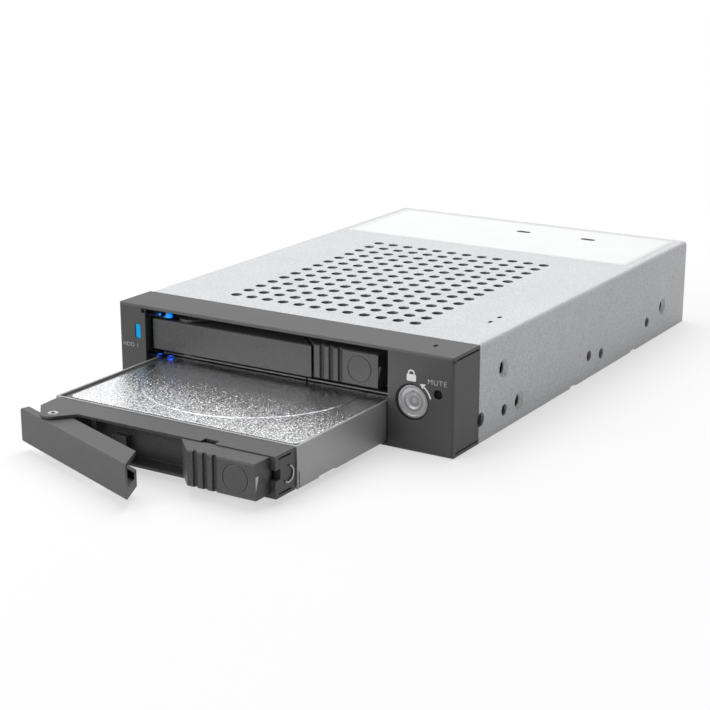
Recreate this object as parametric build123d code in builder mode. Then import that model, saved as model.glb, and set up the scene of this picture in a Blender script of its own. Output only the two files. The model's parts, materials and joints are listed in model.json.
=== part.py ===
"""Hot swap cage for two 2.5 inch drives, in the size of a 3.5 inch bay. Millimetres, +Z up.

The origin is the middle of the bezel's front face, at the bottom. +X is the right side seen from
the front and +Y runs into the cage. The upper carrier is home. The lower one is pulled part way
out with its lever open. Carrier pieces are drawn at the lower home place and then moved.
"""

from build123d import *
from math import cos, radians, sin
import os

# Small rounds are drawn with few sides, because only their size matters
vent_sides = 8
screw_sides = 8
can_sides = 12
dimple_sides = 12
wire_sides = 6
button_sides = 16
lock_sides = 24
slot_cut = 0.3

# Cage
cage_width = 101.6
cage_height = 25.4
cage_depth = 150.0
sheet = 0.8
seam = 0.05
bend_radius = 1.2

# Bezel and its opening
bezel_depth = 13.4
bezel_gap = 0.1
bezel_bend = 0.7
opening_left = -42.1
opening_right = 32.7
opening_low = 1.1
relief_slit = 0.4
corner_notch = 1.2

# Vents in the top
vent_columns = 12
vent_rows = 14
vent_pitch_x = 5.0
vent_pitch_y = 5.76
vent_radius = 1.2
vent_first_x = -28.4
vent_first_y = 22.8

# Mounting holes in the sides and the bottom
side_hole_radius = 1.5
low_hole_height = 5.0
low_hole_first = 27.2
low_hole_span = 60.0
high_hole_height = 6.35
high_hole_first = 78.9
high_hole_span = 41.61
bottom_hole_span_x = 95.25
bottom_hole_span_y = 44.45
bottom_hole_first = 78.9
dimple_radius = 2.6
dimple_hole_radius = 1.6
dimple_depth = 1.1
dimples = [(26.5, 16.2), (35.7, 5.1), (132.3, 8.6)]
edge_notch_y = 14.4
edge_notch_z = 6.0
edge_notch_radius = 1.9
dimple_slope = 40
foot_nick_places = [66.9, 108.6]
foot_nick_length = 4.0
foot_nick_height = 0.5

# Small slots and a nick in the top sheet
edge_slot = (1.0, 1.9)
edge_slot_places = [(42.9, 33.9), (42.9, 39.1)]
bezel_slot_places = [(41.9, 7.3)]
rear_slot = (4.4, 1.0)
rear_slot_x = [1.8, 23.8]
rear_slot_insets = [14.0, 13.8]
rear_nick = (2.0, 1.2)
rear_nick_x = -6.4

# Base plate, partitions and shelf
flange_height = 11.4
lip_depth = 9.0
flange_hole_gap = 0.4
front_tab_inset = 2.0
rail_height = 0.4
rail_width = 4.0
rail_inset = 2.0
base_slot = (5.0, 60.0)
base_slot_cut = 1.5
base_slot_places = [(-20.0, 66.0), (-7.0, 66.0), (6.0, 66.0)]
bay_gap = 0.4
partition_front = 14.6
partition_foot = 5.0
partition_clearance = 0.1
shelf_sheet = 0.4
shelf_front = 4.3
shelf_tab_places = [34.0, 96.0]
shelf_tab_width = 8.0
shelf_window = (9.0, 36.0)
shelf_window_cut = 2.0
shelf_window_middle = 66.0
shelf_window_pitch_x = 14.0
shelf_window_pitch_y = 44.0
shelf_nick = (6.0, 6.6)

# Carriers
carrier_width = 71.4
carrier_middle = -3.5
carrier_low = 1.35
carrier_height = 10.3
carrier_pitch = 11.0
pulled_out = 55.0
tray_sheet = 0.6
tray_front = 16.0
tray_back = 112.6
tray_window = (15.0, 28.0)
tray_window_cut = 2.0
tray_window_middle = 66.0
tray_window_pitch_x = 19.0
tray_window_pitch_y = 34.0
tray_slit_top = 5.4
tray_nick_y = (24.9, 32.3)
tray_nick_height = 0.35
front_screw_places = [-28.0, 20.0]
front_screw_radius = 0.85
front_screw_head_radius = 1.6
front_screw_head = 0.6
front_screw_skin = 0.6

# Carrier front body
body_left = -38.0
body_right = 31.9
body_front = 7.9
body_back = 15.4
body_low = 1.45
body_high = 11.6
ledge = 0.7
recess_back = 12.6
end_block = 2.0
guide_left = 9.9
guide_thick = 1.2
back_wall_inset = 0.2
stop_x = (-17.0, -12.8)
stop_reach = 2.2
stop_top = 7.3
rim_notch_x = (11.3, 15.4)
rim_notch_back = 9.9
hook_x = (-23.0, -21.8)
hook_low = 8.2
end_groove = 0.45
end_groove_depth = 0.6
end_groove_y = (9.0, 14.0)

# Lever and its pin
pivot_x = -30.9
pivot_y = 5.55
ear_radius = 3.0
lower_ear_radius = 2.2
ear_left_angle = 225
ear_right_angle = 310
ear_neck = 5.8
ear_inset = 0.6
ear_corner_y = 8.4
pin_radius = 0.9
ear_hole_radius = 0.93
pin_head_radius = 1.25
pin_head_height = 0.4
pin_dish_radius = 0.8
pin_dish_depth = 0.15
pin_fit = 0.04
lever_left = -41.0
lever_right = 9.2
lever_front = 2.0
lever_depth = 6.45
lever_gap = 0.15
heel_x = -34.2
heel_chamfer = 1.2
heel_plate = 2.4
lever_wall = 1.0
rib_wall = 1.5
hook_reach = 7.0
hook_thick = 1.4
hook_top = 6.3
pocket_low = 4.8
rib_pocket_places = [-24.5, -15.0]
rib_pocket_length = 8.0
edge_cut = 0.3
lever_open = 20.6

# Latch slider
latch_right = 28.7
latch_gap = 0.5
latch_slant_gap = 0.4
latch_height = 8.75
latch_middle = 6.9
latch_travel = 2.5
latch_fit = 0.2
latch_circle_x = 23.4
latch_circle_radius = 3.37
latch_circle_line = 0.3
latch_circle_depth = 0.25
latch_circle_sides = 32
latch_slid = 1.6
groove_pitch = 2.7
groove_first = 11.6
groove_width = 1.5
groove_floor = 0.4
groove_steep = 0.2
groove_depth = 0.8
stem_left = 14.0
stem_right = 24.0
stem_height = 3.4
foot_rise = 1.4
foot_thick = 1.3
foot_reach = 1.0
wire_radius = 0.25
wire_ends = [(13.2, 8.0), (11.4, 4.7)]
bow_middle = (14.5, 6.2)

# Drive
drive_width = 69.85
drive_length = 100.2
drive_height = 9.5
drive_gap = 0.8
drive_rail = 6.2
cover_plate = 0.5
cover_inset_left = 1.9
cover_inset_right = 0.2
cover_inset_front = 0.3
cover_inset_back = 1.2
ring_x = -4.2
ring_y = 52.1
ring_radius = 29.3
ring_width = 0.6
ring_sides = 60
ring_depth = 0.2
drive_hole_span_x = 61.72
drive_hole_span_y = 76.6
drive_hole_inset = 14.0
drive_corner = 1.2
drive_hole_depth = 3.0
drive_side_hole_depth = 2.4
drive_side_hole_radius = 1.25
drive_screw_radius = 1.5
drive_screw_head = 2.3
drive_screw_space = 0.5
drive_board_thick = 1.0
drive_board_sink = 0.2
drive_board_fit = 0.4
drive_board_front = 22.0
drive_board_cover = 0.6

# Drive connectors
connector_x = 5.9
connector_width = 41.0
connector_height = 4.6
connector_low = 1.3
connector_reach = 6.2
blade_height = 1.1
blade_fit = 0.2
signal_width = 10.3
power_width = 20.4
blade_margin = 2.6
plug_gap = 0.6
plug_fit = 0.2
plug_thick = 1.0
plug_room = 2.4
blade_short = 0.3

# Rear panel
rear_flange_depth = 8.4
rear_tab_reach = 30.0
rear_vent = (7.0, 2.4)
rear_vent_cut = 0.7
rear_vent_pitch = 11.0
rear_vent_z = 17.5

# Boards at the back
board_thick = 1.6
backplane_front = 119.4
backplane_top_gap = 0.2
air_slot = (14.0, 2.4)
air_slot_cut = 0.7
air_slot_places = [(-27.0, 6.5), (-27.0, 12.0), (-27.0, 17.5)]
main_board_low = 3.2
main_board_inset_back = 2.6
main_board_inset_side = 3.45
post_inset_x = 4.5
post_inset_y = 4.0
post_radius = 2.5
board_hole_radius = 1.5
board_thread_radius = 0.95
board_screw_head = 1.4
board_screw_space = 0.2
link_base = (30.0, 5.0, 4.5)
link_plug = (26.0, 3.0, 1.5)
port_height = 6.2
port_width = 14.0
port_depth = 9.0
port_wall = 1.2
port_well_height = 3.8
port_floor = 2.0
port_blade_inset = 0.8
port_blade_short = 1.0
port_key = (1.2, 1.3)
port_places = [-31.0, -13.0]
power_port_x = 20.0
power_port_width = 25.0

# Parts on the rear board. A place is the way in from the board's side and back edges
control_chip_sizes = [(10.0, 1.2), (8.0, 1.0), (6.0, 1.6)]
control_chip_places = [(-23.0, 14.4), (3.0, 12.4), (36.0, 20.4)]
capacitor_places = [(5.5, 15.4), (5.5, 9.4), (11.5, 15.4)]
capacitor_radius = 2.5
capacitor_height = 7.0
buzzer_place = (6.5, 11.4)
buzzer_radius = 4.5
buzzer_height = 5.0
buzzer_hole = (0.8, 1.0)

# Lock
lock_x = 39.5
lock_z = 12.66
lock_hole_radius = 4.65
lock_head_radius = 4.2
lock_sink = 0.5
lock_shaft_radius = 3.2
lock_body_radius = 4.0
lock_bore_fit = 0.05
lock_back = 11.0
lock_crank = 2.2
lock_pin_radius = 0.8
lock_turned = 90.0
lock_cam_thick = 1.2
tongue_front = 8.4
tongue_thick = 1.2
tongue_height = 2.1
notch_middle = 7.0
notch_height = 2.5
arm_left = 36.6
arm_thick = 1.0
tongue_reach = 0.9
lock_face = 0.15
lock_head_depth = 1.55
lock_rim = 0.55
lock_rim_depth = 0.3
lock_well = (1.9, 0.75)
keyway = (1.1, 2.6)
lock_flange = 0.75
lock_square = 3.4
nut_reach = 5.2
nut_thick = 2.0
lock_bracket_front = 2.1
lock_bracket_thick = 1.0
lock_bracket_gap = 0.6
lock_bracket_reach = 4.4
bracket_top_gap = 1.1
lock_cam_radius = 3.9
lock_cam_gap = 0.7
lock_bar_gap = 0.5
lock_pin_end = 0.3
lock_pin_fit = 0.15
bar_beyond_pin = 2.2
bar_below_lock = 2.4
bar_above_lock = 4.2
bar_spine = 1.8

# Countersunk screws in the bottom
screw_radius = 1.25
screw_head_radius = 2.1
screw_length = 3.0
bezel_screw_inset = 5.8
bezel_screw_y = 11.0
rear_screw_places = [-24.0, 0.0, 24.0]
rear_screw_inset = 4.5

# Lights and mute switch
window_x = -44.7
window_z = 18.1
window_width = 1.75
window_length = 3.9
pipe_sink = 0.35
mute_inset = 4.15
mute_z = 15.65
mute_hole_radius = 1.22
mute_radius = 1.08
mute_travel = 0.5
mute_front = 0.6
mute_grip = 1.0
mute_switch_front = 3.4
mute_switch_size = (3.5, 4.4)
switch_board_front = 7.0
switch_board_reach = 2.35
light_board_front = 3.2
light_board_thick = 1.2
holder_inset = 1.8
holder_gap = 0.5
holder_low = 4.0
light_board_z = (2.0, 23.4)
light_x = [-38.9, -35.4]
light_y = 1.85
light_radius = 0.9
light_round = 0.4
light_bar_thick = 0.3
upper_light_z = (22.8, 24.2)
lower_light_z = (11.8, 12.2)

# Worked out once from the sizes above
half_width = cage_width / 2
inner_half = half_width - sheet - seam
inner_top = cage_height - sheet
cover_front = bezel_depth + bezel_gap
front_tab_reach = half_width - front_tab_inset
bezel_screw_places = [bezel_screw_inset - half_width, half_width - bezel_screw_inset]
rear_screw_y = cage_depth - rear_screw_inset
mute_x = half_width - mute_inset
holder_x = (holder_inset - half_width, opening_left - holder_gap)
bracket_z = (2 * sheet + 2 * seam, inner_top - bracket_top_gap)
carrier_left = carrier_middle - carrier_width / 2
carrier_right = carrier_middle + carrier_width / 2
carrier_top = carrier_low + carrier_height
left_wall = carrier_left - bay_gap
right_wall = carrier_right + bay_gap
shelf_low = carrier_top + (carrier_pitch - carrier_height - shelf_sheet) / 2
drive_front = tray_front + tray_sheet + drive_gap
drive_back = drive_front + drive_length
drive_low = carrier_low + tray_sheet + seam
drive_top = drive_low + drive_height
body_middle = (body_low + body_high) / 2
lever_low = body_low + ledge + lever_gap
lever_high = body_high - ledge - lever_gap
lever_back = lever_front + lever_depth
latch_low = latch_middle - latch_height / 2
latch_back = body_front - latch_fit
main_board_top = main_board_low + board_thick
main_board_back = cage_depth - main_board_inset_back
main_board_reach = inner_half - main_board_inset_side
window_places = [(window_x, window_z), (window_x, window_z - carrier_pitch)]
rests = {"lower": (-pulled_out, 0.0), "upper": (0.0, carrier_pitch)}

os.makedirs("parts", exist_ok=True)


def across(y):
    """Plane across the cage at depth y, drawn as seen from the front. Extrude by minus to go back."""
    return Plane.XZ.offset(-y)


def beside(x):
    """Plane along the cage at width x. Its first axis runs to the back and its second one up."""
    return Plane.YZ.offset(x)


def level(z):
    """Level plane at height z."""
    return Plane.XY.offset(z)


def block(x, y, z, mode=Mode.ADD):
    """Square block between the given pairs of x, y and z."""
    with BuildSketch(level(z[0])) as area:
        with Locations(((x[0] + x[1]) / 2, (y[0] + y[1]) / 2)):
            Rectangle(x[1] - x[0], y[1] - y[0])
    extrude(area.sketch, amount=z[1] - z[0], mode=mode)


def disc(radius, sides=0, mode=Mode.ADD):
    """Circle, or where sides are given, the polygon inside it with flats on its four quarters."""
    if sides:
        RegularPolygon(radius, sides, rotation=180 / sides, mode=mode)
    else:
        Circle(radius, mode=mode)


def rod(x, z, radius, y, mode=Mode.ADD, sides=0):
    """Round rod along the cage's depth, between the given pair of y."""
    with BuildSketch(across(y[0])) as area:
        with Locations((x, z)):
            disc(radius, sides)
    extrude(area.sketch, amount=y[0] - y[1], mode=mode)


def post(x, y, radius, z, mode=Mode.ADD, sides=0):
    """Upright round post between the given pair of z."""
    with BuildSketch(level(z[0])) as area:
        with Locations((x, y)):
            disc(radius, sides)
    extrude(area.sketch, amount=z[1] - z[0], mode=mode)


def bore(y, z, radius, x, mode=Mode.SUBTRACT, sides=0):
    """Round hole across the cage's width, between the given pair of x."""
    with BuildSketch(beside(x[0])) as area:
        with Locations((y, z)):
            disc(radius, sides)
    extrude(area.sketch, amount=x[1] - x[0], mode=mode)


def windows(plane, places, size, cut, thick):
    """Openings with cut corners at the given places of a plane, through a sheet or a board."""
    with BuildSketch(plane) as area:
        with Locations(*places):
            Rectangle(*size)
        chamfer(area.vertices(), cut)
    extrude(area.sketch, amount=thick, mode=Mode.SUBTRACT)


def cone(x, y, radius, height, mode):
    """Countersink that opens at the bottom of the cage and narrows upwards at 45 degrees."""
    with BuildSketch(level(0)) as area:
        with Locations((x, y)):
            disc(radius, screw_sides)
    extrude(area.sketch, amount=height, taper=45, mode=mode)


def sunk_hole(x, y):
    """Countersunk hole through the bottom sheet."""
    post(x, y, screw_radius + seam, (0, sheet), Mode.SUBTRACT, screw_sides)
    cone(x, y, screw_head_radius + seam, sheet, Mode.SUBTRACT)


def sunk_screws(places, y):
    """Countersunk screws from below, driven up through the bottom sheet."""
    for x in places:
        cone(x, y, screw_head_radius, sheet, Mode.ADD)
        post(x, y, screw_radius, (0, screw_length), sides=screw_sides)


def save_pair(piece, name, slid=0.0):
    """Write both copies of a carrier piece. The lower one is slid to the right by the given way."""
    for bay, (out, rise) in rests.items():
        copy = piece.moved(Location((slid if bay == "lower" else 0, out, rise)))
        copy.label = f"{bay}_{name}"
        export_step(copy, f"parts/{copy.label}.step")


def side_faces(side):
    """Outer and inner face of the cage's wall on one side, lower value first."""
    return sorted((side * half_width, side * (half_width - sheet)))


def flange_faces(side):
    """The two faces of the base plate's upright flange on one side."""
    return sorted((side * inner_half, side * (inner_half - sheet)))


def bent_top(y, low, inset, wall):
    """U of sheet, open below, between the pair of y. It stands inset from the cage's outline."""
    reach = half_width - inset
    high = cage_height - inset
    with BuildSketch(across(y[0])) as profile:
        with Locations((0, (low + high) / 2)):
            Rectangle(2 * reach, high - low)
        fillet(profile.vertices().group_by(Axis.Y)[-1], bend_radius)
        with Locations((0, (low + high - wall) / 2)):
            Rectangle(2 * (reach - wall), high - low - wall, mode=Mode.SUBTRACT)
    extrude(profile.sketch, amount=y[0] - y[1])


def side_holes(x, radius, sides=0):
    """Holes for the mounting screws in one side wall, through the pair of x."""
    for first, span, height in (
        (low_hole_first, low_hole_span, low_hole_height),
        (high_hole_first, high_hole_span, high_hole_height),
    ):
        bore(first, height, radius, x, sides=sides)
        bore(first + span, height, radius, x, sides=sides)


def make_outer_cover():
    """Top and sides from one bent sheet. Its front edge is set in to pass under the bezel."""
    lip_inset = sheet + seam
    lip_front = cover_front - lip_depth
    with BuildPart() as outer_cover:
        bent_top((cover_front, cage_depth), 0, 0, sheet)
        bent_top((lip_front, cover_front + sheet), lip_inset, lip_inset, sheet)
        bent_top((cover_front, cover_front + sheet), lip_inset, 0, lip_inset + sheet)
        windows(level(cage_height), edge_slot_places, edge_slot, slot_cut, -sheet)
        rear_slots = [(x, cage_depth - inset) for x, inset in zip(rear_slot_x, rear_slot_insets)]
        windows(level(cage_height), rear_slots, rear_slot, slot_cut, -sheet)
        for side in (-1, 1):
            x = side_faces(side)
            side_holes(x, side_hole_radius)
            inner = side * (half_width - sheet)
            for y, z in dimples:
                boss = sorted((inner, inner - side * (dimple_depth - sheet / 2)))
                bore(y, z, dimple_radius, boss, Mode.ADD, dimple_sides)
            skin = Plane((side * half_width, 0, 0), x_dir=(0, -side, 0), z_dir=(-side, 0, 0))
            with BuildSketch(skin):
                with Locations([(-side * y, z) for y, z in dimples]):
                    disc(dimple_radius, dimple_sides)
            extrude(amount=dimple_depth, taper=dimple_slope, mode=Mode.SUBTRACT)
            through = sorted((side * half_width, inner - side * dimple_depth))
            for y, z in dimples:
                bore(y, z, dimple_hole_radius, through, sides=dimple_sides)
            bore(edge_notch_y, edge_notch_z, edge_notch_radius, through, sides=can_sides)
            for y in foot_nick_places:
                block(x, (y, y + foot_nick_length), (0, foot_nick_height), Mode.SUBTRACT)
        vent_middle_x = vent_first_x + vent_pitch_x * (vent_columns - 1) / 2
        vent_middle_y = vent_first_y + vent_pitch_y * (vent_rows - 1) / 2
        with BuildSketch(level(cage_height)):
            with Locations((vent_middle_x, vent_middle_y)):
                with GridLocations(vent_pitch_x, vent_pitch_y, vent_columns, vent_rows):
                    disc(vent_radius, vent_sides)
            with Locations((rear_nick_x, cage_depth)):
                Rectangle(*rear_nick)
        extrude(amount=-sheet, mode=Mode.SUBTRACT)
    outer_cover.part.label = "outer_cover"
    export_step(outer_cover.part, "parts/outer_cover.step")


def make_base_plate():
    """Bottom of the cage with upright side flanges, two pressed rails and tabs under the bezel."""
    flange_front = cover_front + sheet + seam
    tab_low = sheet + seam
    with BuildPart() as base_plate:
        block((-inner_half, inner_half), (cover_front, cage_depth), (0, sheet))
        for side in (-1, 1):
            block(flange_faces(side), (flange_front, cage_depth - 2 * sheet), (0, flange_height))
            side_holes(flange_faces(side), side_hole_radius + flange_hole_gap, screw_sides)
            for y, z in dimples:
                if z < flange_height:
                    bore(y, z, dimple_radius + 2 * seam, flange_faces(side), sides=dimple_sides)
        tab_left = (-front_tab_reach, left_wall - 2 * sheet)
        tab_right = (right_wall + 2 * sheet, front_tab_reach)
        for tab in (tab_left, tab_right):
            block(tab, (cover_front - lip_depth, cover_front + sheet), (tab_low, tab_low + sheet))
            block(tab, (cover_front, cover_front + sheet), (sheet, tab_low + sheet))
        for rail in (left_wall + rail_inset, right_wall - rail_inset - rail_width):
            block((rail, rail + rail_width), (tray_front, tray_back), (sheet, sheet + rail_height))
        for y in (bottom_hole_first, bottom_hole_first - bottom_hole_span_y):
            for x in (-bottom_hole_span_x / 2, bottom_hole_span_x / 2):
                post(x, y, side_hole_radius, (0, sheet), mode=Mode.SUBTRACT)
        for x in bezel_screw_places:
            tab_z = (tab_low, tab_low + sheet)
            post(x, bezel_screw_y, screw_radius + seam, tab_z, Mode.SUBTRACT, screw_sides)
        for x in rear_screw_places:
            sunk_hole(x, rear_screw_y)
        windows(level(0), base_slot_places, base_slot, base_slot_cut, sheet)
    base_plate.part.label = "base_plate"
    export_step(base_plate.part, "parts/base_plate.step")


def make_front_bezel():
    """Folded front sheet: face, four side flanges with corner slits, and the bay opening."""
    with BuildPart() as front_bezel:
        block((-half_width, half_width), (0, bezel_depth), (0, cage_height))
        fillet(front_bezel.edges().group_by(Axis.Y)[0], bezel_bend)
        inside = (sheet - half_width, half_width - sheet)
        block(inside, (sheet, bezel_depth), (sheet, inner_top), mode=Mode.SUBTRACT)
        block((opening_left, opening_right), (0, sheet), (opening_low, inner_top), Mode.SUBTRACT)
        block(
            (opening_left - corner_notch, opening_left),
            (0, sheet),
            (inner_top - corner_notch, inner_top),
            Mode.SUBTRACT,
        )
        for side in (-1, 1):
            wall = side_faces(side)
            slit_y = (2 * sheet, bezel_depth)
            block(wall, slit_y, (sheet, sheet + relief_slit), Mode.SUBTRACT)
            block(wall, slit_y, (inner_top - relief_slit, inner_top), Mode.SUBTRACT)
            bore(edge_notch_y, edge_notch_z, edge_notch_radius, wall, sides=can_sides)
        rod(lock_x, lock_z, lock_hole_radius, (0, sheet), Mode.SUBTRACT, lock_sides)
        rod(mute_x, mute_z, mute_hole_radius, (0, sheet), Mode.SUBTRACT, button_sides)
        windows(across(0), window_places, (window_width, window_length), slot_cut, -sheet)
        for x in bezel_screw_places:
            sunk_hole(x, bezel_screw_y)
        windows(level(cage_height), bezel_slot_places, edge_slot, slot_cut, -sheet)
    front_bezel.part.label = "front_bezel"
    export_step(front_bezel.part, "parts/front_bezel.step")


def make_rear_panel():
    """Back sheet with openings for the ports and vents, and inner flanges on three sides."""
    front = cage_depth - sheet
    low = sheet + seam
    side = inner_half - sheet - seam
    with BuildPart() as rear_panel:
        block((-side, side), (front, cage_depth), (low, inner_top - seam))
        flange_y = (cage_depth - rear_flange_depth, front)
        block((-rear_tab_reach, rear_tab_reach), flange_y, (low, low + sheet))
        block((side - sheet, side), flange_y, (low, inner_top - seam))
        block((-side, sheet - side), flange_y, (low, inner_top - seam))
        for x, width in port_sizes():
            gap_x = (x - width / 2 - latch_fit, x + width / 2 + latch_fit)
            gap_z = (main_board_top - latch_fit, main_board_top + port_height + latch_fit)
            block(gap_x, (front, cage_depth), gap_z, Mode.SUBTRACT)
        vents = [(rear_vent_pitch * step, rear_vent_z) for step in range(-3, 4)]
        windows(across(front), vents, rear_vent, rear_vent_cut, -sheet)
        for x in rear_screw_places:
            tab_z = (low, low + sheet)
            post(x, rear_screw_y, screw_radius + seam, tab_z, Mode.SUBTRACT, screw_sides)
    rear_panel.part.label = "rear_panel"
    export_step(rear_panel.part, "parts/rear_panel.step")


def port_sizes():
    """Middle and width of each port at the back."""
    return [(x, port_width) for x in port_places] + [(power_port_x, power_port_width)]


def make_partitions():
    """Two upright walls that guide the carriers, each with a foot and slots for the shelf's tabs."""
    low = sheet + seam
    high = inner_top - sheet - 2 * seam - partition_clearance
    back = backplane_front - seam
    foot_front = cover_front + sheet + seam
    with BuildPart() as left_partition:
        x = (left_wall - sheet, left_wall)
        block(x, (partition_front, back), (low, high))
        block((x[0] - partition_foot, x[0]), (partition_front, back), (low, low + sheet))
        shelf_slots(x)
    left_partition.part.label = "left_partition"
    export_step(left_partition.part, "parts/left_partition.step")
    with BuildPart() as right_partition:
        x = (right_wall, right_wall + sheet)
        block(x, (2 * sheet, back), (low, high))
        block((x[1], x[1] + partition_foot), (foot_front, back), (low, low + sheet))
        shelf_slots(x)
        for rise in (0, carrier_pitch):
            middle = notch_middle + rise
            reach = tongue_height / 2 + latch_fit
            tongue_y = (tongue_front - latch_fit, tongue_front + tongue_thick + latch_fit)
            block(x, tongue_y, (middle - reach, middle + reach), Mode.SUBTRACT)
    right_partition.part.label = "right_partition"
    export_step(right_partition.part, "parts/right_partition.step")


def shelf_slots(x):
    """Slots in a partition for the tabs of the shelf."""
    for y in shelf_tab_places:
        gap_y = (y - shelf_tab_width / 2 - seam, y + shelf_tab_width / 2 + seam)
        block(x, gap_y, (shelf_low - seam, shelf_low + shelf_sheet + seam), Mode.SUBTRACT)


def make_shelf():
    """Thin shelf between the bays, open in the middle, with tabs through both partitions."""
    z = (shelf_low, shelf_low + shelf_sheet)
    back = backplane_front - seam
    with BuildPart() as middle_shelf:
        block((left_wall + seam, right_wall - seam), (shelf_front, back), z)
        for y in shelf_tab_places:
            tab = (y - shelf_tab_width / 2, y + shelf_tab_width / 2)
            block((left_wall - sheet, right_wall + sheet), tab, z)
        for row in (-1, 1):
            middle = shelf_window_middle + row * shelf_window_pitch_y / 2
            places = [
                (carrier_middle + column * shelf_window_pitch_x / 2, middle) for column in (-3, -1, 1, 3)
            ]
            windows(level(shelf_low), places, shelf_window, shelf_window_cut, shelf_sheet)
        block(shelf_nick, (shelf_front, shelf_front + sheet), z, Mode.SUBTRACT)
    middle_shelf.part.label = "middle_shelf"
    export_step(middle_shelf.part, "parts/middle_shelf.step")


def make_backplane():
    """Upright board behind the bays with a socket for each drive, and air slots between them."""
    z = (sheet + seam, inner_top - sheet - backplane_top_gap)
    with BuildPart() as backplane_board:
        block(
            (left_wall - sheet, right_wall + sheet),
            (backplane_front, backplane_front + board_thick),
            z,
        )
        places = air_slot_places + [(connector_x, air_slot_places[1][1])]
        windows(across(backplane_front), places, air_slot, air_slot_cut, -board_thick)
    backplane_board.part.label = "backplane_board"
    export_step(backplane_board.part, "parts/backplane_board.step")

    low = carrier_low + connector_low
    middle = low + connector_height / 2
    front = backplane_front - connector_reach
    half = connector_width / 2
    with BuildPart() as drive_socket:
        block(
            (connector_x - half, connector_x + half),
            (front, backplane_front),
            (low, low + connector_height),
        )
        slot_height = blade_height + 2 * blade_fit
        for x, width in blade_places():
            reach = width / 2 + blade_fit
            slot_y = (front, backplane_front - sheet)
            slot_z = (middle - slot_height / 2, middle + slot_height / 2)
            block((x - reach, x + reach), slot_y, slot_z, Mode.SUBTRACT)
    for bay, (out, rise) in rests.items():
        socket = drive_socket.part.moved(Location((0, 0, rise)))
        socket.label = f"{bay}_drive_socket"
        export_step(socket, f"parts/{socket.label}.step")


def blade_places():
    """Middle and width of the signal and the power blade of a drive connector."""
    reach = connector_width / 2 - blade_margin
    signal_x = connector_x - reach + signal_width / 2
    power_x = connector_x + reach - power_width / 2
    return [(signal_x, signal_width), (power_x, power_width)]


def make_main_board():
    """Level board at the back on four posts with their screws, and the link to the backplane."""
    front = backplane_front + board_thick + sheet
    post_x = main_board_reach - post_inset_x
    post_y = (front + post_inset_y, main_board_back - post_inset_y)
    corners = [(x, y) for x in (-post_x, post_x) for y in post_y]
    top = main_board_top
    with BuildPart() as main_board:
        board_x = (-main_board_reach, main_board_reach)
        block(board_x, (front, main_board_back), (main_board_low, top))
        for x, y in corners:
            post(x, y, board_hole_radius, (main_board_low, top), Mode.SUBTRACT, screw_sides)
    main_board.part.label = "main_board"
    export_step(main_board.part, "parts/main_board.step")

    with BuildPart() as board_posts:
        for x, y in corners:
            post(x, y, post_radius, (sheet, main_board_low), sides=screw_sides)
            thread = board_thread_radius + seam
            post(x, y, thread, (sheet, main_board_low), Mode.SUBTRACT, screw_sides)
    board_posts.part.label = "board_posts"
    export_step(board_posts.part, "parts/board_posts.step")

    with BuildPart() as board_screws:
        for x, y in corners:
            post(x, y, post_radius, (top, top + board_screw_head), sides=screw_sides)
            post(x, y, board_thread_radius, (sheet + board_screw_space, top), sides=screw_sides)
    board_screws.part.label = "board_screws"
    export_step(board_screws.part, "parts/board_screws.step")

    with BuildPart() as board_link:
        low = top
        for width, depth, height in (link_base, link_plug):
            block((-width / 2, width / 2), (front - sheet, front + depth), (low, low + height))
            low += height
    board_link.part.label = "board_link"
    export_step(board_link.part, "parts/board_link.step")


def make_board_parts():
    """Chips, capacitors and buzzer that stand on the rear board."""
    top = main_board_top
    with BuildPart() as control_chips:
        for (x, inset), (size, height) in zip(control_chip_places, control_chip_sizes):
            y = main_board_back - inset
            block((x - size / 2, x + size / 2), (y - size / 2, y + size / 2), (top, top + height))
    control_chips.part.label = "control_chips"
    export_step(control_chips.part, "parts/control_chips.step")

    with BuildPart() as capacitors:
        for side, inset in capacitor_places:
            x, y = side - main_board_reach, main_board_back - inset
            post(x, y, capacitor_radius, (top, top + capacitor_height), sides=can_sides)
    capacitors.part.label = "capacitors"
    export_step(capacitors.part, "parts/capacitors.step")

    x, y = main_board_reach - buzzer_place[0], main_board_back - buzzer_place[1]
    high = top + buzzer_height
    with BuildPart() as buzzer:
        post(x, y, buzzer_radius, (top, high), sides=can_sides)
        post(x, y, buzzer_hole[0], (high - buzzer_hole[1], high), Mode.SUBTRACT, screw_sides)
    buzzer.part.label = "buzzer"
    export_step(buzzer.part, "parts/buzzer.step")


def make_ports():
    """Two data ports and one power port, each a shell open to the back with its blade inside."""
    ports = []
    for x, width in port_sizes():
        middle = main_board_top + port_height / 2
        back = cage_depth
        with BuildPart() as port:
            shell_x = (x - width / 2, x + width / 2)
            block(shell_x, (back - port_depth, back), (main_board_top, main_board_top + port_height))
            well_x = (shell_x[0] + port_wall, shell_x[1] - port_wall)
            well_z = (middle - port_well_height / 2, middle + port_well_height / 2)
            well_front = back - port_depth + port_floor
            block(well_x, (well_front, back), well_z, Mode.SUBTRACT)
            blade_x = (well_x[0] + port_blade_inset, well_x[1] - port_blade_inset)
            blade_y = (well_front, back - port_blade_short)
            block(blade_x, blade_y, (middle - blade_height / 2, middle + blade_height / 2))
            key_x = (blade_x[0], blade_x[0] + port_key[0])
            block(key_x, blade_y, (middle - port_key[1], middle))
        ports.append(port.part)
    data_ports = Compound(children=ports[: len(port_places)])
    data_ports.label = "data_ports"
    export_step(data_ports, "parts/data_ports.step")
    power_port = ports[-1]
    power_port.label = "power_port"
    export_step(power_port, "parts/power_port.step")


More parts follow.
